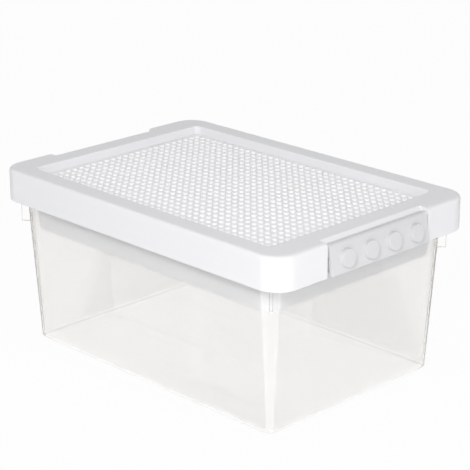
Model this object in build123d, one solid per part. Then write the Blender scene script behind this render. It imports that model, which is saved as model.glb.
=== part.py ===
from build123d import *

import os
from math import atan, cos, degrees, radians, sin

# A storage box for building blocks. A clear bin carries a white divided tray in its mouth, and a
# white lid with a studded building surface closes it, with a hinged latch at each short end.
# Millimetres. The origin is at the centre of the bin's foot, +X along its length, +Z up.

# Bin
foot_length = 312.0
foot_width = 210.0
foot_corner = 8.0
bin_height = 155.5
wall_lean = 10.0  # how far each wall leans out from the foot to the mouth
bin_wall = 2.0
bin_floor = 2.2
foot_edge = 1.8

# Flange round the bin's mouth
flange_end_reach = 13.0  # beyond the wall at the short ends, as a hand hold
flange_side_reach = 6.0
flange_corner = 19.0
flange_thick = 2.0
flange_drop = 13.0
corner_rib_thick = 3.0
corner_rib_reach = 5.5  # beyond the wall's corner, under the flange
corner_rib_drop = 25.0
seat_width = 110.0  # the shallow seat of a latch's hook in the flange's end
seat_depth = 0.6

# Tray
tray_gap = 2.0  # between the tray's body and the bin's wall, at the mouth
tray_corner = 20.0
tray_depth = 46.0
tray_lean = 6.0
tray_wall = 1.8
tray_floor = 2.0
tray_floor_edge = 1.5
tray_rim_thick = 2.0
tray_rim_end_reach = 8.0
tray_rim_side_reach = 7.0
tray_rim_corner = 25.0
divider_foot_thick = 2.2
divider_lean = 0.3
divider_drop = 4.0  # from the rim's top to the dividers' top
tray_rows = 3
front_row_pockets = 2
other_row_pockets = 3

# Lid
lid_gap = 1.0  # round the flange
lid_wall = 2.0
lid_top_thick = 2.2
lid_edge = 2.0
skirt_below_flange = 3.5
pan_clearance = 0.4  # between the pan's underside and the tray's rim
pan_floor = 1.8
pan_wall = 2.0
recess_drop = 8.5  # from the lid's top to the stud plate
recess_lean = 1.5
recess_corner = 4.0
bearing_rib_thick = 2.0
bearing_rib_gap = 0.6
side_bearing_ribs = 6

# Stud plate
stud_pitch = 8.0
studs_long = 37
studs_wide = 25
stud_width = 4.9
stud_height = 1.8
plate_thick = 1.8
plate_end_margin = 7.5
plate_side_margin = 7.0
plate_gap = 0.2

# Latch and its notch in the lid's end
notch_width = 130.0
notch_depth = 10.5
notch_bevel = 3.0
notch_wall = 2.5
notch_wall_gap = 0.5  # above the flange
lug_thick = 4.0
barrel_gap = 0.5
barrel_drop = 3.0  # from the lid's top to the top of the latch's barrel
pin_radius = 1.75
pin_clearance = 0.05
pin_grip = 3.0
pin_end_gap = 0.3
flap_gap = 2.5
flap_thick = 2.0
flap_slope = 4.0  # degrees that the face leans out when it is latched
flap_rest_turn = 7.0  # degrees from latched to released, as it is drawn
cheek_thick = 1.8
cheek_gap = 0.4
hook_gap = 0.5
hook_thick = 2.0
hook_bite = 1.5
hook_side_gap = 1.0
hook_tip = 0.9
grip_studs = 4
grip_stud_radius = 8.2
grip_stud_pitch = 29.6
grip_stud_height = 4.5
grip_stud_drop = 11.5

# One overrun for every cut that has to pass right through a face
overrun = 5.0

# Places that several pieces share
mouth_length = foot_length + 2 * wall_lean
mouth_width = foot_width + 2 * wall_lean
flange_length = mouth_length + 2 * flange_end_reach
flange_width = mouth_width + 2 * flange_side_reach
flange_bottom = bin_height - flange_drop
tray_length = mouth_length - 2 * bin_wall - 2 * tray_gap
tray_width = mouth_width - 2 * bin_wall - 2 * tray_gap
tray_rim_length = tray_length + 2 * tray_rim_end_reach
tray_rim_width = tray_width + 2 * tray_rim_side_reach
tray_top = bin_height + tray_rim_thick
tray_bottom = tray_top - tray_depth
pan_bottom = tray_top + pan_clearance
plate_bottom = pan_bottom + pan_floor
plate_top = plate_bottom + plate_thick
lid_top = plate_top + recess_drop
lid_bottom = flange_bottom - skirt_below_flange
lid_length = flange_length + 2 * lid_gap + 2 * lid_wall
lid_width = flange_width + 2 * lid_gap + 2 * lid_wall
lid_corner = flange_corner + lid_gap + lid_wall
lid_end = lid_length / 2
plate_length = (studs_long - 1) * stud_pitch + 2 * plate_end_margin
plate_width = (studs_wide - 1) * stud_pitch + 2 * plate_side_margin
notch_back = lid_end - notch_depth + notch_bevel
barrel_radius = (notch_depth - notch_bevel - barrel_gap) / 2
hinge_x = notch_back + barrel_gap + barrel_radius
hinge_z = lid_top - barrel_drop - barrel_radius
seat_face = flange_length / 2 - seat_depth
flap_width = notch_width - 2 * flap_gap
flap_reach = hinge_z - flange_bottom + hook_gap + hook_thick


def block(length, width, corner, bottom, height, lean=0.0):
    """A block with rounded corners whose sides lean out by lean from its bottom to its top."""
    outline = Plane.XY.offset(bottom) * RectangleRounded(length, width, corner)
    return extrude(outline, amount=height, taper=-degrees(atan(lean / height)))


def box(low, high):
    """A plain box between two corners."""
    middle = [(a + b) / 2 for a, b in zip(low, high)]
    size = [b - a for a, b in zip(low, high)]
    return Pos(*middle) * Box(*size)


def at_both_ends(solid):
    """The solid at the +X end and its copy turned to the -X end."""
    return [solid, Rotation(0, 0, 180) * solid]


def bin_walls(inset, bottom):
    """The leaning outline of the bin's walls, moved in by inset, from bottom to the mouth."""
    lean_here = wall_lean * bottom / bin_height
    return block(
        foot_length + 2 * lean_here - 2 * inset,
        foot_width + 2 * lean_here - 2 * inset,
        foot_corner + lean_here - inset,
        bottom,
        bin_height - bottom,
        wall_lean - lean_here,
    )


def make_bin():
    """The clear bin: leaning walls, a flange with a turned-down edge, and a rib under it at each corner."""
    body = bin_walls(0, 0)
    body = chamfer(body.edges().group_by(Axis.Z)[0], foot_edge)

    flange = block(flange_length, flange_width, flange_corner, flange_bottom, flange_drop)
    flange -= block(
        flange_length - 2 * flange_thick,
        flange_width - 2 * flange_thick,
        flange_corner - flange_thick,
        flange_bottom - overrun,
        flange_drop - flange_thick + overrun,
    )
    seat = box(
        (seat_face, -seat_width / 2, flange_bottom - overrun),
        (flange_length / 2 + overrun, seat_width / 2, bin_height + overrun),
    )
    flange -= at_both_ends(seat)

    rib_start = (foot_length / 2 - foot_corner, foot_width / 2 - foot_corner)
    rib = box(
        (0, -corner_rib_thick / 2, flange_bottom - corner_rib_drop),
        (foot_corner + wall_lean + corner_rib_reach, corner_rib_thick / 2, bin_height - flange_thick),
    )
    for side in (-1, 1):
        body += at_both_ends(Pos(rib_start[0], side * rib_start[1], 0) * Rotation(0, 0, side * 45) * rib)

    cavity = bin_walls(bin_wall, bin_floor)
    mouth = block(
        mouth_length - 2 * bin_wall,
        mouth_width - 2 * bin_wall,
        foot_corner + wall_lean - bin_wall,
        bin_height,
        overrun,
    )
    return body + flange - cavity - mouth


def tray_body(inset, bottom):
    """The leaning outline of the tray's body, moved in by inset, from bottom to the rim's top."""
    height = tray_top - bottom
    lean = tray_lean * height / tray_depth
    return block(
        tray_length - 2 * lean - 2 * inset,
        tray_width - 2 * lean - 2 * inset,
        tray_corner - lean - inset,
        bottom,
        height,
        lean,
    )


def make_tray():
    """The white tray: a leaning tub that hangs by its rim, with dividers that stop below the rim."""
    rim = block(tray_rim_length, tray_rim_width, tray_rim_corner, bin_height, tray_rim_thick)
    tub = tray_body(0, tray_bottom)
    tub = chamfer(tub.edges().group_by(Axis.Z)[0], tray_floor_edge)
    hollow_bottom = tray_bottom + tray_floor
    hollow = tray_body(tray_wall, hollow_bottom)
    tray = tub + rim - hollow

    divider_top = tray_top - divider_drop
    divider_height = divider_top - tray_bottom - tray_floor / 2
    foot = Plane.XY.offset(tray_bottom + tray_floor / 2)
    lean_angle = degrees(atan(divider_lean / divider_height))
    row_width = tray_width / tray_rows
    reach = tray_length - 2 * tray_wall
    dividers = []
    for row in range(tray_rows):
        row_middle = (row + 0.5) * row_width - tray_width / 2
        if row > 0:
            place = Pos(0, row_middle - row_width / 2)
            dividers.append(place * Rectangle(reach, divider_foot_thick))
        pockets = front_row_pockets if row == 0 else other_row_pockets
        for split in range(1, pockets):
            place = Pos(reach * (split / pockets - 0.5), row_middle)
            dividers.append(place * Rectangle(divider_foot_thick, row_width))
    for outline in dividers:
        tray += extrude(foot * outline, amount=divider_height, taper=lean_angle) & tray_body(0, tray_bottom)
    return tray


def make_lid():
    """The white lid: a skirt round the flange, a sunk pan for the stud plate and a notch at each end."""
    lid = block(lid_length, lid_width, lid_corner, lid_bottom, lid_top - lid_bottom)
    lid = chamfer(lid.edges().group_by(Axis.Z)[-1], lid_edge)
    lid -= block(
        lid_length - 2 * lid_wall,
        lid_width - 2 * lid_wall,
        lid_corner - lid_wall,
        lid_bottom - overrun,
        lid_top - lid_top_thick - lid_bottom + overrun,
    )
    recess_length = plate_length + 2 * plate_gap
    recess_width = plate_width + 2 * plate_gap
    pan_growth = recess_lean + pan_wall
    lid += block(
        recess_length + 2 * pan_growth,
        recess_width + 2 * pan_growth,
        recess_corner + pan_growth,
        pan_bottom,
        lid_top - lid_top_thick / 2 - pan_bottom,
    )
    recess_height = lid_top - plate_bottom
    lid -= block(recess_length, recess_width, recess_corner, plate_bottom, recess_height, recess_lean)

    rib_reach = lid_width / 2 - lid_wall - tray_rim_width / 2 - bearing_rib_gap
    rib_top = lid_top - lid_top_thick / 2
    skirt_inside = lid_width / 2 - lid_wall
    rib_spacing = (lid_length - 2 * lid_corner) / side_bearing_ribs
    for number in range(side_bearing_ribs):
        middle = (number + 0.5) * rib_spacing - lid_length / 2 + lid_corner
        rib = box(
            (middle - bearing_rib_thick / 2, skirt_inside - rib_reach, bin_height),
            (middle + bearing_rib_thick / 2, skirt_inside + lid_wall / 2, rib_top),
        )
        lid += at_both_ends(rib)

    lug_outside = notch_width / 2 + lug_thick
    end_rib_middle = (lug_outside + lid_width / 2 - lid_corner) / 2
    for side in (-1, 1):
        rib = box(
            (lid_end - lid_wall - rib_reach, side * end_rib_middle - bearing_rib_thick / 2, bin_height),
            (lid_end - lid_wall / 2, side * end_rib_middle + bearing_rib_thick / 2, rib_top),
        )
        lid += at_both_ends(rib)

    housing = box(
        (notch_back - notch_wall, -lug_outside, bin_height + notch_wall_gap),
        (lid_end - lid_wall / 2, lug_outside, rib_top),
    )
    lid += at_both_ends(housing)
    notch_outline = Plane.XZ * make_face(
        Polyline(
            (notch_back, lid_bottom - overrun),
            (notch_back, lid_top - notch_bevel),
            (notch_back - notch_bevel, lid_top),
            (notch_back - notch_bevel, lid_top + overrun),
            (lid_end + overrun, lid_top + overrun),
            (lid_end + overrun, lid_bottom - overrun),
            close=True,
        )
    )
    notch = extrude(notch_outline, amount=notch_width / 2, both=True)
    bore_length = notch_width + 2 * pin_grip + 2 * pin_end_gap
    bores = Pos(hinge_x, 0, hinge_z) * Rotation(90, 0, 0) * Cylinder(pin_radius + pin_clearance, bore_length)
    return lid - at_both_ends(notch) - at_both_ends(bores)


def ridges(length, count):
    """Points along a plate's section whose top has count ridges, each as wide at its top as a stud."""
    points = [(-length / 2, plate_bottom), (-length / 2, plate_top)]
    for number in range(count):
        middle = (number - (count - 1) / 2) * stud_pitch
        points.append((middle - stud_pitch / 2, plate_top))
        points.append((middle - stud_width / 2, plate_top + stud_height))
        points.append((middle + stud_width / 2, plate_top + stud_height))
    points.append((middle + stud_pitch / 2, plate_top))
    points += [(length / 2, plate_top), (length / 2, plate_bottom)]
    return points


def make_stud_plate():
    """The building surface: crossed ridges leave rows of studs, each with four sloping sides."""
    along = Plane.XZ * make_face(Polyline(*ridges(plate_length, studs_long), close=True))
    across = Plane.YZ * make_face(Polyline(*ridges(plate_width, studs_wide), close=True))
    plate = block(plate_length, plate_width, recess_corner - plate_gap, plate_bottom, plate_thick + stud_height)
    plate &= extrude(along, amount=plate_width / 2, both=True)
    return plate & extrude(across, amount=plate_length / 2, both=True)


def make_latch():
    """The latch at the +X end, turned from latched to released by flap_rest_turn."""
    slope = radians(flap_slope)
    face_top = (barrel_radius * cos(slope), barrel_radius * sin(slope))
    inside_radius = barrel_radius - flap_thick
    inside_top = (inside_radius * cos(slope), inside_radius * sin(slope))

    def along(start, drop_to):
        """The point on a line down the slope from start, at the height drop_to."""
        fall = (start[1] - drop_to) / cos(slope)
        return (start[0] + fall * sin(slope), drop_to)

    face_bottom = along(face_top, -flap_reach)
    hook_top = hook_thick - flap_reach
    hook_end = seat_face - hook_bite - hinge_x
    cheek_back = flange_length / 2 + cheek_gap - hinge_x

    def slab(width, middle, points):
        """An upright slab across the flap, from an outline about the hinge's axis."""
        outline = Plane.XZ * make_face(Polyline(*points, close=True))
        return Pos(0, middle, 0) * extrude(outline, amount=width / 2, both=True)

    latch = Rotation(90, 0, 0) * Cylinder(barrel_radius, flap_width)
    latch += slab(flap_width, 0, [face_top, face_bottom, along(inside_top, -flap_reach), inside_top])
    hook = [
        along(inside_top, hook_top),
        (hook_end, hook_top),
        (hook_end, hook_top - hook_tip),
        (along(inside_top, -flap_reach)[0] - hook_tip, -flap_reach),
        along(inside_top, -flap_reach),
        along(face_top, -flap_reach),
        along(face_top, hook_top),
    ]
    latch += slab(seat_width - 2 * hook_side_gap, 0, hook)
    for side in (-1, 1):
        middle = side * (flap_width - cheek_thick) / 2
        latch += slab(cheek_thick, middle, [face_top, face_bottom, (cheek_back, -flap_reach), (cheek_back, 0)])
    pin_length = notch_width + 2 * pin_grip
    latch += Rotation(90, 0, 0) * Cylinder(pin_radius, pin_length)

    stud = Cylinder(grip_stud_radius, grip_stud_height, align=(Align.CENTER, Align.CENTER, Align.MIN))
    start = along(face_top, face_top[1] - grip_stud_drop * cos(slope))
    face = Plane(
        origin=(start[0], 0, start[1]),
        x_dir=(0, 1, 0),
        z_dir=(cos(slope), 0, sin(slope)),
    )
    for place in GridLocations(grip_stud_pitch, grip_stud_pitch, grip_studs, 1):
        latch += face.location * place * stud
    released = Rotation(0, -flap_rest_turn, 0) * latch
    return Pos(hinge_x, 0, hinge_z) * released


def main():
    os.makedirs("parts", exist_ok=True)
    latch = make_latch()
    nodes = {
        "bin": make_bin(),
        "tray": make_tray(),
        "lid": make_lid(),
        "stud_plate": make_stud_plate(),
        "latch_right": latch,
        "latch_left": Rotation(0, 0, 180) * latch,
    }
    for name, solid in nodes.items():
        export_step(solid, os.path.join("parts", f"{name}.step"))


main()
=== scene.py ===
from math import atan2, cos, hypot, pi, radians, sin, sqrt, tan

import bmesh
import bpy
from mathutils import Matrix, Vector


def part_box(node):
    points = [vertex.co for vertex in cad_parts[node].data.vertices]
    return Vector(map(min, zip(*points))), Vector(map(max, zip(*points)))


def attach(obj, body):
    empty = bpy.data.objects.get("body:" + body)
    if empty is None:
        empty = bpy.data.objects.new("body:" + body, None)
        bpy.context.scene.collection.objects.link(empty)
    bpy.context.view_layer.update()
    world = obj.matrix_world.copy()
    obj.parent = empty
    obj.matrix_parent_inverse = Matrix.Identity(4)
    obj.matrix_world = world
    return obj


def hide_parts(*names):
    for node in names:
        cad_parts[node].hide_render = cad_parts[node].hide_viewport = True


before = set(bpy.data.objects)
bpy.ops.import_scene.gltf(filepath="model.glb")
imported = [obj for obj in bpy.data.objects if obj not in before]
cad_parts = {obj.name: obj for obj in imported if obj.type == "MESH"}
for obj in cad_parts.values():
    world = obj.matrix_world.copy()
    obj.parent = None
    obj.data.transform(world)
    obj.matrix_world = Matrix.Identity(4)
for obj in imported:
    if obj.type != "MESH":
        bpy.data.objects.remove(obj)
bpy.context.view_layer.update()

# Lengths of the box's pieces are in millimetres, and a mesh is brought to metres once, when it is
# finished. Turns and slopes are in degrees.
mm = 0.001

# Bin
foot_corner = 8.0
wall_lean = 10.0
bin_wall = 2.0
bin_floor = 2.2
foot_edge = 2.5
floor_edge = 1.8
flange_end_reach = 13.0
flange_side_reach = 6.0
flange_corner = 19.0
flange_thick = 2.0
flange_drop = 13.0
flange_edge = 1.0
flange_foot_edge = flange_thick / 3
lip_edge = 0.5
corner_rib_thick = 3.0
corner_rib_reach = 5.5
corner_rib_drop = 25.0
corner_rib_edge = 0.8
corner_rib_turn = 45.0
seat_width = 110.0
seat_depth = 0.6
seat_ramp = 3.0
seat_run_out = 2 * seat_depth

# Tray
tray_corner = 20.0
tray_lean = 6.0
tray_wall = 1.8
tray_floor = 2.0
tray_floor_edge = 2.4
tray_rim_thick = 2.0
tray_rim_end_reach = 8.0
tray_rim_side_reach = 7.0
tray_rim_corner = 25.0
tray_rim_edge = 0.8
divider_foot_thick = 2.2
divider_top_thick = 1.6
divider_drop = 4.0
divider_edge = 0.6
tray_pockets = (2, 3, 3)

# Lid
lid_wall = 2.0
lid_top_thick = 2.2
lid_corner = 22.0
lid_edge = 3.0
skirt_edge = 0.5
recess_edge = 0.7
recess_lean = 1.5
recess_corner = 4.0
plate_gap = 0.2
pan_wall = 2.0
pan_floor = 1.8
bearing_rib_thick = 2.0
bearing_rib_reach = 3.4
side_bearing_ribs = 6
notch_width = 130.0
notch_depth = 10.5
notch_bevel = 3.0
notch_wall = 2.5
notch_wall_gap = 0.5
lug_thick = 4.0

# Stud plate
stud_pitch = 8.0
studs_long = 37
studs_wide = 25
stud_radius = 2.45
stud_height = 1.8
stud_edge = 0.35
plate_thick = 1.8

# Latches
flap_width = 125.0
flap_thick = 2.0
flap_slope = 4.0
flap_rest_turn = 7.0
flap_edge = 0.5
flap_ease = 0.3
cheek_thick = 1.8
cheek_gap = 0.4
cheek_inset = 0.02
cheek_ease = 0.25
hook_gap = 0.5
hook_thick = 2.0
hook_bite = 1.5
hook_side_gap = 1.0
hook_tip = 0.9
hook_ease = 0.2
barrel_gap = 0.5
barrel_drop = 3.0
pin_radius = 1.75
pin_grip = 3.0
pin_edge = 0.4
grip_studs = 4
grip_stud_radius = 8.2
grip_stud_pitch = 29.6
grip_stud_height = 4.5
grip_stud_drop = 11.5
grip_stud_edge = 0.9

# How finely round forms are drawn
corner_steps = 14
edge_steps = 4
stud_edge_steps = 2
barrel_half_steps = 10
grip_stud_sides = 48
pin_sides = 24
stud_sides = 14
ease_segments = 2
ease_least_turn = 40.0
sharp_turn = 32.0
merge_reach = 0.0005
overrun = 5.0


def node_box(name):
    """A CAD node's lowest and highest corners in millimetres."""
    low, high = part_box(name)
    return Vector(low) / mm, Vector(high) / mm


# Sizes and places that follow the frame

bin_low, bin_high = node_box("bin")
tray_low, tray_high = node_box("tray")
lid_low, lid_high = node_box("lid")
plate_low, plate_high = node_box("stud_plate")

flange_length, flange_width = bin_high.x - bin_low.x, bin_high.y - bin_low.y
bin_height = bin_high.z
flange_bottom = bin_height - flange_drop
mouth_length = flange_length - 2 * flange_end_reach
mouth_width = flange_width - 2 * flange_side_reach
tray_rim_length, tray_rim_width = tray_high.x - tray_low.x, tray_high.y - tray_low.y
tray_top, tray_bottom = tray_high.z, tray_low.z
tray_length = tray_rim_length - 2 * tray_rim_end_reach
tray_width = tray_rim_width - 2 * tray_rim_side_reach
lid_length, lid_width = lid_high.x - lid_low.x, lid_high.y - lid_low.y
lid_top, lid_bottom = lid_high.z, lid_low.z
plate_length, plate_width = plate_high.x - plate_low.x, plate_high.y - plate_low.y
plate_bottom, plate_top = plate_low.z, plate_low.z + plate_thick
pan_bottom = plate_bottom - pan_floor
lid_end = lid_length / 2
notch_back = lid_end - notch_depth + notch_bevel
barrel_radius = (notch_depth - notch_bevel - barrel_gap) / 2
hinge_x = notch_back + barrel_gap + barrel_radius
hinge_z = lid_top - barrel_drop - barrel_radius
seat_face = flange_length / 2 - seat_depth
flap_reach = hinge_z - flange_bottom + hook_gap + hook_thick


# Mesh tools

def new_object(name, data):
    """An object in the scene from its data."""
    made = bpy.data.objects.new(name, data)
    bpy.context.collection.objects.link(made)
    return made


def arc(centre, radius, first_turn, steps=edge_steps):
    """Points on a quarter of a circle, anticlockwise from first_turn."""
    turns = [radians(first_turn + 90 * step / steps) for step in range(steps + 1)]
    return [(centre[0] + radius * cos(turn), centre[1] + radius * sin(turn)) for turn in turns]


def station(length, width, corner, height, inset=0.0, rounding=0.0):
    """One step of a wall's section: a rounded rectangle moved in by inset, at a height.

    The rounding is the radius with which the section turns there.
    """
    return Vector((length / 2 - inset, width / 2 - inset, corner - inset, height)), rounding


def section_turn(before, here, after):
    """Half the turn of the section at a step, with the directions to the steps beside it."""
    back, on = before - here, after - here
    back /= hypot(back[1], back[3])
    on /= hypot(on[1], on[3])
    between = max(-1.0, min(1.0, back[1] * on[1] + back[3] * on[3]))
    return (pi - atan2(sqrt(1 - between * between), between)) / 2, back, on


def softened(stations):
    """The section's steps, with each turn that has a rounding drawn as an arc of that radius."""
    steps = []
    for number, (here, rounding) in enumerate(stations):
        if not rounding:
            steps.append(here)
            continue
        half, back, on = section_turn(stations[number - 1][0], here, stations[number + 1][0])
        reach = rounding * tan(half)
        start, end, weight = here + back * reach, here + on * reach, cos(half)
        for step in range(edge_steps + 1):
            t = step / edge_steps
            shares = (1 - t) ** 2, 2 * t * (1 - t) * weight, t * t
            steps.append((start * shares[0] + here * shares[1] + end * shares[2]) / sum(shares))
    return steps


def corner_ring(half_length, half_width, corner, height):
    """Points round a rectangle with rounded corners, anticlockwise from above."""
    points = []
    for quarter, (side_x, side_y) in enumerate(((1, -1), (1, 1), (-1, 1), (-1, -1))):
        centre = side_x * (half_length - corner), side_y * (half_width - corner)
        points += [(x, y, height) for x, y in arc(centre, corner, 90 * (quarter - 1), corner_steps)]
    return points


def skinned(name, rings):
    """A closed mesh through rings of points, with a flat cap on its first and its last ring."""
    bm = bmesh.new()
    loops = [[bm.verts.new(point) for point in ring] for ring in rings]
    for loop, following in zip(loops, loops[1:]):
        for here in range(len(loop)):
            there = (here + 1) % len(loop)
            bm.faces.new((loop[here], loop[there], following[there], following[here]))
    bm.faces.new(loops[0][::-1])
    bm.faces.new(loops[-1])
    bmesh.ops.remove_doubles(bm, verts=bm.verts, dist=merge_reach)
    bmesh.ops.recalc_face_normals(bm, faces=bm.faces)
    mesh = bpy.data.meshes.new(name)
    bm.to_mesh(mesh)
    bm.free()
    return new_object(name, mesh)


def walls(name, stations):
    """A closed mesh whose section follows the stations."""
    return skinned(name, [corner_ring(*step) for step in softened(stations)])


def prism(name, outline, low_y, high_y):
    """A closed upright slab between two places along Y, from an outline of (x, z) points."""
    return skinned(name, [[(x, y, z) for x, z in outline] for y in (low_y, high_y)])


def slab(name, low, high):
    """A plain rectangular rib between two corners."""
    outline = ((low[0], low[2]), (high[0], low[2]), (high[0], high[2]), (low[0], high[2]))
    return prism(name, outline, low[1], high[1])


def stud_mesh(name, radius, height, edge, sides):
    """One stud that stands on the XY plane, with a rounded top edge."""
    levels = [(radius, 0.0), *arc((radius - edge, height - edge), edge, 0, stud_edge_steps)]
    turns = [2 * pi * side / sides for side in range(sides)]
    return skinned(name, [
        [(ring_radius * cos(turn), ring_radius * sin(turn), level) for turn in turns]
        for ring_radius, level in levels
    ])


def turned_round(source):
    """A copy of the object for the -X end, turned half round the Z axis."""
    copy = source.copy()
    copy.data = source.data.copy()
    copy.data.transform(Matrix.Rotation(pi, 4, "Z"))
    bpy.context.collection.objects.link(copy)
    return copy


def baked(piece):
    """The piece with its modifiers made part of a plain mesh."""
    shown = piece.evaluated_get(bpy.context.evaluated_depsgraph_get())
    mesh = bpy.data.meshes.new_from_object(shown)
    piece.modifiers.clear()
    piece.data = mesh
    return piece


def combined(piece, operation, others):
    """Apply a boolean with each of the others to the piece. The others stay as they are."""
    for other in others:
        change = piece.modifiers.new(operation, "BOOLEAN")
        change.operation = operation
        change.solver = "EXACT"
        change.object = other
    baked(piece)


def joined(piece, others, operation="UNION"):
    """Add the others to the piece, or cut them out of it, and then remove them."""
    combined(piece, operation, others)
    for other in others:
        bpy.data.objects.remove(other)


def trimmed(pieces, operation, tool):
    """Apply a boolean with the tool to each of the pieces, and then remove the tool."""
    for piece in pieces:
        combined(piece, operation, [tool])
    bpy.data.objects.remove(tool)


def eased(piece, width):
    """The piece with a small rounding on its sharp edges."""
    ease = piece.modifiers.new("ease", "BEVEL")
    ease.width = width
    ease.segments = ease_segments
    ease.limit_method = "ANGLE"
    ease.angle_limit = radians(ease_least_turn)
    return baked(piece)


def finished(piece, material, body, slot, *nodes):
    """Bring the piece to metres, smooth but for its sharp edges, and give it its finish and its body."""
    bm = bmesh.new()
    bm.from_mesh(piece.data)
    for face in bm.faces:
        face.smooth = True
    for edge in bm.edges:
        open_edge = len(edge.link_faces) != 2
        edge.smooth = open_edge or edge.calc_face_angle(0.0) < radians(sharp_turn)
    bm.to_mesh(piece.data)
    bm.free()
    flatten = piece.modifiers.new("flatten", "WEIGHTED_NORMAL")
    flatten.keep_sharp = True
    baked(piece)
    piece.data.transform(Matrix.Scale(mm, 4))
    piece.data.name = piece.name
    piece.data.materials.clear()
    piece.data.materials.append(material)
    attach(piece, body)
    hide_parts(*nodes)


# Node tools

def feed(tree, node, inputs):
    """Set a node's inputs to values, or link them where the value is another node's output."""
    for key, value in inputs.items():
        if isinstance(value, bpy.types.NodeSocket):
            tree.links.new(value, node.inputs[key])
        else:
            node.inputs[key].default_value = value


def add_node(tree, kind, inputs, **settings):
    """A new node with its settings, and then its inputs fed."""
    node = tree.nodes.new(kind)
    for setting, value in settings.items():
        setattr(node, setting, value)
    feed(tree, node, inputs)
    return node


def worked(tree, operation, *values):
    """The outcome of a mathematical operation on values or on other nodes' outputs."""
    inputs = dict(enumerate(values))
    return add_node(tree, "ShaderNodeMath", inputs, operation=operation).outputs["Value"]


def ranged(tree, value, low, high):
    """A value between nought and one, stretched to lie between low and high."""
    inputs = {"Value": value, "To Min": low, "To Max": high}
    return add_node(tree, "ShaderNodeMapRange", inputs).outputs["Result"]


def z_part(tree, vector):
    """The Z part of a vector."""
    return add_node(tree, "ShaderNodeSeparateXYZ", {"Vector": vector}).outputs["Z"]


def noise(tree, scale, detail=2.0):
    """Noise on Object coordinates at a scale per metre."""
    place = tree.nodes.new("ShaderNodeTexCoord").outputs["Object"]
    inputs = {"Vector": place, "Scale": scale, "Detail": detail}
    return add_node(tree, "ShaderNodeTexNoise", inputs).outputs["Fac"]


def bumped(tree, inputs, depth):
    """A normal that is tilted by a height, which is depth millimetres at its most."""
    bump = add_node(tree, "ShaderNodeBump", {**inputs, "Distance": depth * mm})
    return bump.outputs["Normal"]


def mixed_colour(tree, share, first, second):
    """The first colour where the share is nought, and the second where it is one."""
    inputs = {"Factor": share, "A": first, "B": second}
    return add_node(tree, "ShaderNodeMix", inputs, data_type="RGBA").outputs["Result"]


def mixed_shader(tree, share, first, second):
    """The first shader where the share is nought, and the second where it is one."""
    inputs = {"Fac": share, 1: first, 2: second}
    return add_node(tree, "ShaderNodeMixShader", inputs).outputs["Shader"]


def new_material(name):
    """An empty material with its output and a principled shader joined to it."""
    material = bpy.data.materials.new(name)
    material.use_nodes = True
    tree = material.node_tree
    tree.nodes.clear()
    output = tree.nodes.new("ShaderNodeOutputMaterial")
    shader = tree.nodes.new("ShaderNodeBsdfPrincipled")
    feed(tree, output, {"Surface": shader.outputs["BSDF"]})
    return material, tree, shader, output


# Materials. The scales of their noise are per metre.

plastic_ior = 1.49

flow_scale, flow_detail = 9.0, 3.0
flow_shade = 0.985
polish_scale, polish_detail = 34.0, 4.0
polish_spread = 0.04
grain_scale = 1500.0
grain_strength = 0.12
grain_depth = 0.05
edge_round_samples = 4
glow_radii = (1.0, 0.96, 0.92)

clear_face_on_share = 0.25
clear_edge_on_share = 0.85
clear_colour = (1.0, 0.995, 0.988, 1)
# Painted shade: the brown-grey that clear upright walls darken to where they turn away, standing in for
# refraction's dark outlines.
painted_edge_shade_colour = (0.33, 0.305, 0.27, 1)
edge_shade_blend = 0.5
edge_shade_from, edge_shade_to = 0.5, 0.88
haze_scale, haze_detail = 22.0, 3.0
haze_low, haze_high = 0.015, 0.05
ripple_scale = 26.0
ripple_strength = 0.06
ripple_depth = 0.4
absorbing_colour = (0.60, 0.56, 0.48, 1)
absorbing_density = 4.0


def white_plastic(name, colour, roughness, edge_round, glow_share, glow_depth):
    """White moulded plastic with a fine spark-eroded grain and faint flow marks.

    Its edges look rounded by edge_round, and light spreads in it over glow_depth.
    """
    material, tree, shader, _ = new_material(name)
    darker = [channel * flow_shade for channel in colour]
    flow = noise(tree, flow_scale, flow_detail)
    polish = noise(tree, polish_scale, polish_detail)
    radius = {"Radius": edge_round * mm}
    soft = add_node(tree, "ShaderNodeBevel", radius, samples=edge_round_samples)
    grain = {
        "Height": noise(tree, grain_scale),
        "Strength": grain_strength,
        "Normal": soft.outputs["Normal"],
    }
    feed(tree, shader, {
        "Base Color": mixed_colour(tree, flow, (*darker, 1), (*colour, 1)),
        "Roughness": ranged(tree, polish, roughness - polish_spread, roughness + polish_spread),
        "Normal": bumped(tree, grain, grain_depth),
        "IOR": plastic_ior,
        "Subsurface Weight": glow_share,
        "Subsurface Radius": glow_radii,
        "Subsurface Scale": glow_depth * mm,
    })
    return material


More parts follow.
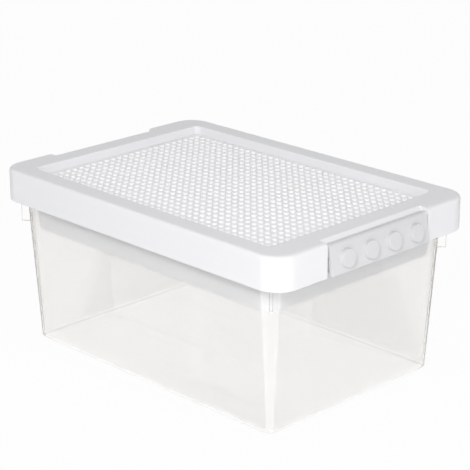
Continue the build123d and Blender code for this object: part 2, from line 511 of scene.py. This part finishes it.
def clear_plastic():
    """Clear moulded plastic that hardly shows face on.

    Upright walls take a painted dark edge shade where they turn away, in place of the dark outlines
    that refraction gives, and level faces stay clear. A share of the light goes straight through, and
    all of it does for shadows and for light that has been scattered.
    """
    material, tree, shader, output = new_material("clear_moulded_plastic")
    turned_away = add_node(tree, "ShaderNodeLayerWeight", {"Blend": edge_shade_blend}).outputs["Facing"]
    limits = {"Value": turned_away, "From Min": edge_shade_from, "From Max": edge_shade_to}
    edge_shade_ramp = add_node(tree, "ShaderNodeMapRange", limits, interpolation_type="SMOOTHSTEP")
    normal = tree.nodes.new("ShaderNodeNewGeometry").outputs["Normal"]
    upright = ranged(tree, worked(tree, "ABSOLUTE", z_part(tree, normal)), 1.0, 0.0)
    # Where the painted edge shade shows: walls turned away, and upright ones only.
    edge = worked(tree, "MULTIPLY", edge_shade_ramp.outputs["Result"], upright)
    ripple = {"Height": noise(tree, ripple_scale), "Strength": ripple_strength}
    haze = noise(tree, haze_scale, haze_detail)
    feed(tree, shader, {
        "Base Color": clear_colour,
        "IOR": plastic_ior,
        "Transmission Weight": 1.0,
        "Roughness": ranged(tree, haze, haze_low, haze_high),
        "Normal": bumped(tree, ripple, ripple_depth),
    })

    path = tree.nodes.new("ShaderNodeLightPath").outputs
    unseen = worked(tree, "MAXIMUM", path["Is Shadow Ray"], path["Is Diffuse Ray"])
    plain_share = ranged(tree, edge, clear_face_on_share, clear_edge_on_share)
    straight = worked(tree, "MAXIMUM", unseen, plain_share)
    # The see-through share is darkened there by the painted edge shade.
    tint_with_painted_shade = mixed_colour(tree, edge, clear_colour, painted_edge_shade_colour)
    through = add_node(tree, "ShaderNodeBsdfTransparent", {"Color": tint_with_painted_shade})
    absorbing = {"Color": absorbing_colour, "Density": absorbing_density}
    feed(tree, output, {
        "Surface": mixed_shader(tree, straight, shader.outputs["BSDF"], through.outputs["BSDF"]),
        "Volume": add_node(tree, "ShaderNodeVolumeAbsorption", absorbing).outputs["Volume"],
    })
    return material


lid_finish = white_plastic(
    "white_lid_plastic",
    colour=(0.855, 0.855, 0.87),
    roughness=0.55,
    edge_round=0.35,
    glow_share=0.3,
    glow_depth=2.0,
)
tray_finish = white_plastic(
    "white_tray_plastic",
    colour=(0.915, 0.92, 0.965),
    roughness=0.45,
    edge_round=0.3,
    glow_share=0.3,
    glow_depth=2.0,
)
stud_finish = white_plastic(
    "white_stud_plastic",
    colour=(0.96, 0.96, 0.965),
    roughness=0.36,
    edge_round=0.2,
    glow_share=0.0,
    glow_depth=0.5,
)
# The latch's plastic is greyer than the lid's: this darker tone is painted shade on the flap.
latch_painted_shade_finish = white_plastic(
    "white_latch_plastic",
    colour=(0.70, 0.70, 0.71),
    roughness=0.45,
    edge_round=0.15,
    glow_share=0.0,
    glow_depth=1.0,
)
clear_finish = clear_plastic()


# Bin

def bin_step(height, inset, rounding=0.0):
    """The bin's leaning wall at a height, moved in by inset."""
    lean = wall_lean * (1 - height / bin_height)
    length, width = mouth_length - 2 * lean, mouth_width - 2 * lean
    return station(length, width, foot_corner + wall_lean - lean, height, inset, rounding)


def flange_step(height, inset, rounding=0.0):
    """The flange's outline at a height, moved in by inset."""
    return station(flange_length, flange_width, flange_corner, height, inset, rounding)


def seat_cutter():
    """What the latch's seat takes off the flange.

    It is rounded as the flange is, and runs out of the flange at both ends.
    """
    below, above = flange_bottom - overrun, bin_height + overrun
    outline = [
        (seat_face - flange_foot_edge, below),
        *arc((seat_face - flange_foot_edge, flange_bottom + flange_foot_edge), flange_foot_edge, -90),
        *arc((seat_face - flange_edge, bin_height - flange_edge), flange_edge, 0),
        (seat_face - flange_edge, above),
        (seat_face + overrun, above),
        (seat_face + overrun, below),
    ]
    half_width = seat_width / 2
    places = (
        (-half_width - seat_ramp, seat_run_out),
        (-half_width, 0),
        (half_width, 0),
        (half_width + seat_ramp, seat_run_out),
    )
    return skinned("seat", [[(x + shift, along, z) for x, z in outline] for along, shift in places])


def corner_ribs(top):
    """The ribs under the flange, one at each corner of the bin."""
    corner = foot_corner + wall_lean
    ribs = []
    for side in (-1, 1):
        rib = eased(slab(
            "rib",
            (0, -corner_rib_thick / 2, flange_bottom - corner_rib_drop),
            (corner + corner_rib_reach, corner_rib_thick / 2, top),
        ), corner_rib_edge)
        start = Matrix.Translation((
            mouth_length / 2 - corner,
            side * (mouth_width / 2 - corner),
            0,
        ))
        rib.data.transform(start @ Matrix.Rotation(radians(side * corner_rib_turn), 4, "Z"))
        ribs += [rib, turned_round(rib)]
    hollow = walls("hollow", [
        bin_step(bin_floor, bin_wall / 2),
        bin_step(bin_height, bin_wall / 2),
    ])
    trimmed(ribs, "DIFFERENCE", hollow)
    return ribs


def make_bin():
    """The clear bin, from the middle of its foot outwards, over the flange and down inside."""
    under_flange = bin_height - flange_thick
    shell = walls("clear_bin", [
        bin_step(0, 2 * foot_edge),
        bin_step(0, 0, foot_edge),
        bin_step(under_flange, 0, lip_edge),
        flange_step(under_flange, flange_thick, lip_edge),
        flange_step(flange_bottom, flange_thick, flange_foot_edge),
        flange_step(flange_bottom, 0, flange_foot_edge),
        flange_step(bin_height, 0, flange_edge),
        bin_step(bin_height, bin_wall, lip_edge),
        bin_step(bin_floor, bin_wall, floor_edge),
        bin_step(bin_floor, bin_wall + 2 * floor_edge),
    ])
    joined(shell, corner_ribs(under_flange + flange_thick / 2))
    seat = seat_cutter()
    joined(shell, [seat, turned_round(seat)], "DIFFERENCE")
    finished(shell, clear_finish, "bin", "clear_plastic", "bin")


# Tray

def tray_step(height, inset, rounding=0.0):
    """The tray's leaning wall at a height, moved in by inset."""
    lean = tray_lean * (tray_top - height) / (tray_top - tray_bottom)
    length, width = tray_length - 2 * lean, tray_width - 2 * lean
    return station(length, width, tray_corner - lean, height, inset, rounding)


def rim_step(height, rounding):
    """The tray's rim at a height."""
    return station(tray_rim_length, tray_rim_width, tray_rim_corner, height, rounding=rounding)


def divider_outline():
    """The section of a divider across its length, wider at its foot and rounded at its top."""
    foot, round_middle = tray_bottom + tray_floor / 2, tray_top - divider_drop - divider_edge
    half_foot, round_side = divider_foot_thick / 2, divider_top_thick / 2 - divider_edge
    return [
        (-half_foot, foot),
        (half_foot, foot),
        *arc((round_side, round_middle), divider_edge, 0),
        *arc((-round_side, round_middle), divider_edge, 90),
    ]


def tray_dividers():
    """The long dividers between the tray's rows, and the short ones between the pockets of a row."""
    row_width = tray_width / len(tray_pockets)
    half_reach = (tray_length - tray_wall) / 2
    outline = divider_outline()
    dividers = []
    for row, pockets in enumerate(tray_pockets):
        row_low = row * row_width - tray_width / 2
        start, end = row_low, row_low + row_width
        if row:
            divider = prism("divider", outline, -half_reach, half_reach)
            to_row = Matrix.Translation((0, row_low, 0)) @ Matrix.Rotation(pi / 2, 4, "Z")
            divider.data.transform(to_row)
            dividers.append(divider)
        else:
            start += tray_wall / 2
        if row + 1 == len(tray_pockets):
            end -= tray_wall / 2
        for split in range(1, pockets):
            place = (tray_length - 2 * tray_wall) * (split / pockets - 0.5)
            divider = prism("divider", outline, start, end)
            divider.data.transform(Matrix.Translation((place, 0, 0)))
            dividers.append(divider)
    inside = walls("inside", [
        tray_step(tray_bottom + tray_floor / 4, tray_wall / 2),
        tray_step(tray_top, tray_wall / 2),
    ])
    trimmed(dividers, "INTERSECT", inside)
    return dividers


def make_tray():
    """The white tray: its tub and rim in one skin, with the dividers added to it."""
    under_rim = tray_top - tray_rim_thick
    hollow_floor = tray_bottom + tray_floor
    tub = walls("white_tray", [
        tray_step(tray_bottom, 2 * tray_floor_edge),
        tray_step(tray_bottom, 0, tray_floor_edge),
        tray_step(under_rim, 0),
        rim_step(under_rim, tray_rim_edge / 2),
        rim_step(tray_top, tray_rim_edge),
        tray_step(tray_top, tray_wall, tray_rim_edge),
        tray_step(hollow_floor, tray_wall, tray_floor_edge),
        tray_step(hollow_floor, tray_wall + 2 * tray_floor_edge),
    ])
    joined(tub, tray_dividers())
    finished(tub, tray_finish, "tray", "tray_plastic", "tray")


# Lid

def lid_step(height, inset, rounding=0.0):
    """The lid's outline at a height, moved in by inset."""
    return station(lid_length, lid_width, lid_corner, height, inset, rounding)


def pan_step(height, growth, rounding=0.0):
    """The outline round the stud plate at a height, moved out by growth."""
    length, width = plate_length + 2 * plate_gap, plate_width + 2 * plate_gap
    return station(length, width, recess_corner, height, -growth, rounding)


def lid_ribs(top):
    """The short ribs inside the skirt that bear on the flange, and the housings of the latches."""
    half_thick = bearing_rib_thick / 2
    skirt_inside = lid_width / 2 - lid_wall
    spacing = (lid_length - 2 * lid_corner) / side_bearing_ribs
    additions = []
    for number in range(side_bearing_ribs):
        middle = (number + 0.5) * spacing - lid_length / 2 + lid_corner
        additions.append(slab(
            "rib",
            (middle - half_thick, skirt_inside - bearing_rib_reach, bin_height),
            (middle + half_thick, skirt_inside + lid_wall / 2, top),
        ))
    lug_outside = notch_width / 2 + lug_thick
    end_rib_middle = (lug_outside + lid_width / 2 - lid_corner) / 2
    for side in (-1, 1):
        additions.append(slab(
            "rib",
            (lid_end - lid_wall - bearing_rib_reach, side * end_rib_middle - half_thick, bin_height),
            (lid_end - lid_wall / 2, side * end_rib_middle + half_thick, top),
        ))
    additions.append(slab(
        "housing",
        (notch_back - notch_wall, -lug_outside, bin_height + notch_wall_gap),
        (lid_end - lid_wall / 2, lug_outside, top),
    ))
    return [each for addition in additions for each in (addition, turned_round(addition))]


def make_lid():
    """The white lid, from under the pan out to the skirt, up over the edge and into the recess."""
    under_top = lid_top - lid_top_thick
    pan_outside = recess_lean + pan_wall
    shell = walls("white_lid", [
        pan_step(pan_bottom, pan_outside),
        pan_step(under_top, pan_outside),
        lid_step(under_top, lid_wall),
        lid_step(lid_bottom, lid_wall, skirt_edge),
        lid_step(lid_bottom, 0, skirt_edge),
        lid_step(lid_top, 0, lid_edge),
        pan_step(lid_top, recess_lean, recess_edge),
        pan_step(plate_bottom, 0),
    ])
    joined(shell, lid_ribs(lid_top - lid_top_thick / 2))
    outline = [
        (notch_back, lid_bottom - overrun),
        (lid_end + overrun, lid_bottom - overrun),
        (lid_end + overrun, lid_top + overrun),
        (notch_back - notch_bevel, lid_top + overrun),
        (notch_back - notch_bevel, lid_top),
        (notch_back, lid_top - notch_bevel),
    ]
    notch = prism("notch", outline, -notch_width / 2, notch_width / 2)
    joined(shell, [notch, turned_round(notch)], "DIFFERENCE")
    finished(shell, lid_finish, "lid", "lid_plastic", "lid")


# Studs

def stud_field_tree(stud, material):
    """Nodes that set studs out on a grid and join them to the piece that comes in."""
    tree = bpy.data.node_groups.new("stud_field", "GeometryNodeTree")
    face = tree.interface
    face.new_socket("Geometry", in_out="INPUT", socket_type="NodeSocketGeometry")
    sizes = {}
    for label, kind in (
        ("Studs Long", "NodeSocketInt"),
        ("Studs Wide", "NodeSocketInt"),
        ("Pitch Along", "NodeSocketFloat"),
        ("Pitch Across", "NodeSocketFloat"),
        ("Height", "NodeSocketFloat"),
    ):
        sizes[label] = face.new_socket(label, in_out="INPUT", socket_type=kind).identifier
    face.new_socket("Geometry", in_out="OUTPUT", socket_type="NodeSocketGeometry")
    given = tree.nodes.new("NodeGroupInput").outputs

    def span(count, pitch):
        """The length from the first stud to the last."""
        return worked(tree, "MULTIPLY", worked(tree, "SUBTRACT", given[count], 1.0), given[pitch])

    grid = add_node(tree, "GeometryNodeMeshGrid", {
        "Size X": span("Studs Long", "Pitch Along"),
        "Size Y": span("Studs Wide", "Pitch Across"),
        "Vertices X": given["Studs Long"],
        "Vertices Y": given["Studs Wide"],
    })
    raised = add_node(tree, "GeometryNodeTransform", {
        "Geometry": grid.outputs["Mesh"],
        "Translation": add_node(
            tree, "ShaderNodeCombineXYZ", {"Z": given["Height"]}
        ).outputs["Vector"],
    })
    one = add_node(tree, "GeometryNodeObjectInfo", {"Object": stud})
    spread = add_node(tree, "GeometryNodeInstanceOnPoints", {
        "Points": raised.outputs["Geometry"],
        "Instance": one.outputs["Geometry"],
    })
    together = add_node(tree, "GeometryNodeJoinGeometry", {"Geometry": given["Geometry"]})
    feed(tree, together, {"Geometry": spread.outputs["Instances"]})
    together = together.outputs["Geometry"]
    real = add_node(tree, "GeometryNodeRealizeInstances", {"Geometry": together})
    finish = add_node(tree, "GeometryNodeSetMaterial", {
        "Geometry": real.outputs["Geometry"],
        "Material": material,
    })
    add_node(tree, "NodeGroupOutput", {"Geometry": finish.outputs["Geometry"]})
    return tree, sizes


def add_studs(base, stud, material, values):
    """Set studs out over the base by the stud field nodes, and remove the single stud."""
    tree, names = stud_field_tree(stud, material)
    field = base.modifiers.new("stud_field", "NODES")
    field.node_group = tree
    for label, value in values.items():
        field[names[label]] = value
    baked(base)
    bpy.data.objects.remove(stud)


def make_stud_plate():
    """The building surface: a flat plate with round studs over all of it."""
    corner = recess_corner - plate_gap
    plate = walls("stud_plate_surface", [
        station(plate_length, plate_width, corner, plate_bottom),
        station(plate_length, plate_width, corner, plate_top),
    ])
    stud = stud_mesh("stud", stud_radius, stud_height, stud_edge, stud_sides)
    add_studs(plate, stud, stud_finish, {
        "Studs Long": studs_long,
        "Studs Wide": studs_wide,
        "Pitch Along": stud_pitch,
        "Pitch Across": stud_pitch,
        "Height": plate_top,
    })
    finished(plate, stud_finish, "lid", "lid_plastic", "stud_plate")


# Latches. The right one is drawn latched, with its hinge's axis along Y through nought.

slope = radians(flap_slope)
flap_bottom = -flap_reach


def slope_top(radius):
    """The point where the flap's slope starts, at a radius round the hinge's axis."""
    return radius * cos(slope), radius * sin(slope)


def down_slope(start, height):
    """The point on the flap's slope from start, at a height over the hinge's axis."""
    return start[0] + (start[1] - height) * tan(slope), height


face_top, inside_top = slope_top(barrel_radius), slope_top(barrel_radius - flap_thick)
face_bottom, inside_bottom = down_slope(face_top, flap_bottom), down_slope(inside_top, flap_bottom)


def flap_outline():
    """The section of the barrel and the flap under it, which is rounded at its outer toe."""
    barrel = []
    for step in range(1, 2 * barrel_half_steps):
        turn = slope + pi * step / barrel_half_steps
        barrel.append((barrel_radius * cos(turn), barrel_radius * sin(turn)))
    # The outline follows the barrel until that has come round to the flap's inside face.
    leaving = next(
        number for number, (x, z) in enumerate(barrel) if x > inside_top[0] and z < 0
    )
    toe = arc((face_bottom[0] - flap_edge, flap_bottom + flap_edge), flap_edge, -90)
    inside_start = down_slope(inside_top, barrel[leaving - 1][1])
    return [face_top, *barrel[:leaving], inside_start, inside_bottom, *toe]


def make_hook():
    """The hook along the flap's foot, which reaches under the flange's seat."""
    hook_top = flap_bottom + hook_thick
    hook_end = seat_face - hook_bite - hinge_x
    middle = (face_bottom[0] + inside_bottom[0]) / 2
    half_width = seat_width / 2 - hook_side_gap
    outline = [
        (middle, hook_top),
        (hook_end, hook_top),
        (hook_end, hook_top - hook_tip),
        (inside_bottom[0] - hook_tip, flap_bottom),
        (middle, flap_bottom),
    ]
    return eased(prism("hook", outline, -half_width, half_width), hook_ease)


def make_cheek_and_pin(side):
    """The cheek behind one end of the flap, and the hinge's pin that stands out of it."""
    outside = side * flap_width / 2
    inside = outside - side * cheek_thick
    back = flange_length / 2 + cheek_gap - hinge_x
    front_top = (inside_top[0] + flap_thick / 2, 0)
    foot = flap_bottom + flap_edge
    outline = [front_top, down_slope(front_top, foot), (back, foot), (back, 0)]
    low_y, high_y = min(outside, inside) + cheek_inset, max(outside, inside) - cheek_inset
    cheek = eased(prism("cheek", outline, low_y, high_y), cheek_ease)

    pin_length = (notch_width - flap_width) / 2 + pin_grip + cheek_thick
    pin = stud_mesh("pin", pin_radius, pin_length, pin_edge, pin_sides)
    outwards = Matrix.Rotation(-side * pi / 2, 4, "X")
    pin.data.transform(Matrix.Translation((0, inside, 0)) @ outwards)
    return [cheek, pin]


def make_right_latch():
    """The latch at the +X end, with its studs, in its place and turned out as it is at rest."""
    flap = prism("latch_right", flap_outline(), -flap_width / 2, flap_width / 2)
    latch = eased(flap, flap_ease)
    joined(latch, [make_hook(), *make_cheek_and_pin(-1), *make_cheek_and_pin(1)])

    stud = stud_mesh("grip_stud", grip_stud_radius, grip_stud_height, grip_stud_edge, grip_stud_sides)
    latch.data.materials.append(latch_painted_shade_finish)
    face_point = down_slope(face_top, face_top[1] - grip_stud_drop * cos(slope))
    to_face = Matrix.Translation((face_point[0], 0, face_point[1]))
    onto_face = to_face @ Matrix.Rotation(pi / 2 - slope, 4, "Y")
    latch.data.transform(onto_face.inverted())
    add_studs(latch, stud, latch_painted_shade_finish, {
        "Studs Long": 1,
        "Studs Wide": grip_studs,
        "Pitch Along": grip_stud_pitch,
        "Pitch Across": grip_stud_pitch,
        "Height": 0.0,
    })
    latch.data.transform(onto_face)
    rest_turn = Matrix.Rotation(-radians(flap_rest_turn), 4, "Y")
    latch.data.transform(Matrix.Translation((hinge_x, 0, hinge_z)) @ rest_turn)
    return latch


def make_latches():
    """Both latches, the left one turned half round from the right one."""
    right = make_right_latch()
    left = turned_round(right)
    left.name = "studded_latch_left"
    right.name = "studded_latch_right"
    finished(right, latch_painted_shade_finish, "latch_right", "latch_plastic", "latch_right")
    finished(left, latch_painted_shade_finish, "latch_left", "latch_plastic", "latch_left")


make_bin()
make_tray()
make_lid()
make_stud_plate()
make_latches()


# Camera, at the photograph's viewing angle, with its place in millimetres

camera_azimuth, camera_elevation = radians(45.36), radians(19.364)
camera_place = Vector((1053.3, -1032.6, 634.3)) * mm
camera_sensor_width = 36.0
camera_lens = 129.0


def add_camera():
    """The camera, turned to look along its azimuth and down by its elevation."""
    forward = Vector((
        -sin(camera_azimuth) * cos(camera_elevation),
        cos(camera_azimuth) * cos(camera_elevation),
        -sin(camera_elevation),
    ))
    to_right = Vector((cos(camera_azimuth), sin(camera_azimuth), 0))
    upward = to_right.cross(forward)
    data = bpy.data.cameras.new("camera")
    data.sensor_width = camera_sensor_width
    data.lens = camera_lens
    camera = new_object("camera", data)
    turned = Matrix((to_right, upward, -forward)).transposed().to_4x4()
    camera.matrix_world = Matrix.Translation(camera_place) @ turned
    bpy.context.scene.camera = camera


# Studio: a white floor in a light tent, with a small key lamp up to the left of the camera and a
# low soft fill to its right. Its lengths are in metres, and the lamps' powers in watts.

tent_colour = (0.985, 0.99, 1.0, 1)
tent_side_strength = 0.86
tent_top_strength = 0.48
tent_falloff = 3.0
seen_white = (1, 1, 1, 1)

floor_reach = 12.0
floor_colour = (0.95, 0.95, 0.95, 1)
floor_roughness = 0.9
floor_glow_share = 0.95

middle_of_box = Vector((0, 0, 0.08))
key_place, key_size, key_power = Vector((0.90, -1.26, 1.00)), 0.28, 10
fill_place, fill_size, fill_power = Vector((1.55, -0.82, 0.68)), 1.2, 7.5


def seen_rays(tree):
    """One for rays that come from the camera, also by way of gloss or clear plastic.

    It is nought for the light that falls on the object.
    """
    path = tree.nodes.new("ShaderNodeLightPath").outputs
    seen = path["Is Camera Ray"]
    for kind in ("Is Glossy Ray", "Is Transmission Ray"):
        seen = worked(tree, "MAXIMUM", seen, path[kind])
    return seen


def make_floor():
    """A wide pale floor that is nearly white to the camera but keeps the object's shadow."""
    bm = bmesh.new()
    corners = (-1, -1), (1, -1), (1, 1), (-1, 1)
    bm.faces.new([bm.verts.new((x * floor_reach, y * floor_reach, 0)) for x, y in corners])
    mesh = bpy.data.meshes.new("floor")
    bm.to_mesh(mesh)
    bm.free()
    floor = new_object("floor", mesh)
    material, tree, shader, output = new_material("pale_floor")
    feed(tree, shader, {"Base Color": floor_colour, "Roughness": floor_roughness})
    share = worked(tree, "MULTIPLY", seen_rays(tree), floor_glow_share)
    glow = tree.nodes.new("ShaderNodeEmission")
    surface = mixed_shader(tree, share, shader.outputs["BSDF"], glow.outputs["Emission"])
    feed(tree, output, {"Surface": surface})
    mesh.materials.append(material)


def make_room():
    """The world: a light tent, brighter at the sides than overhead, which the camera sees as white."""
    world = bpy.data.worlds.new("room")
    bpy.context.scene.world = world
    world.use_nodes = True
    tree = world.node_tree
    tree.nodes.clear()
    direction = tree.nodes.new("ShaderNodeTexCoord").outputs["Generated"]
    sideways = ranged(tree, z_part(tree, direction), 1.0, 0.0)
    steep = worked(tree, "POWER", sideways, tent_falloff)
    strength = ranged(tree, steep, tent_top_strength, tent_side_strength)
    tent = add_node(tree, "ShaderNodeBackground", {"Color": tent_colour, "Strength": strength})
    white = add_node(tree, "ShaderNodeBackground", {"Color": seen_white})
    backgrounds = tent.outputs["Background"], white.outputs["Background"]
    surface = mixed_shader(tree, seen_rays(tree), *backgrounds)
    add_node(tree, "ShaderNodeOutputWorld", {"Surface": surface})


def add_lamp(name, place, size, power):
    """A square soft lamp that faces the middle of the box."""
    data = bpy.data.lights.new(name, "AREA")
    data.shape = "SQUARE"
    data.size = size
    data.energy = power
    lamp = new_object(name, data)
    lamp.location = place
    lamp.rotation_euler = (middle_of_box - place).to_track_quat("-Z", "Y").to_euler()


add_camera()
make_floor()
make_room()
add_lamp("key_lamp", key_place, key_size, key_power)
add_lamp("fill_lamp", fill_place, fill_size, fill_power)

bpy.context.scene.view_settings.view_transform = "Standard"
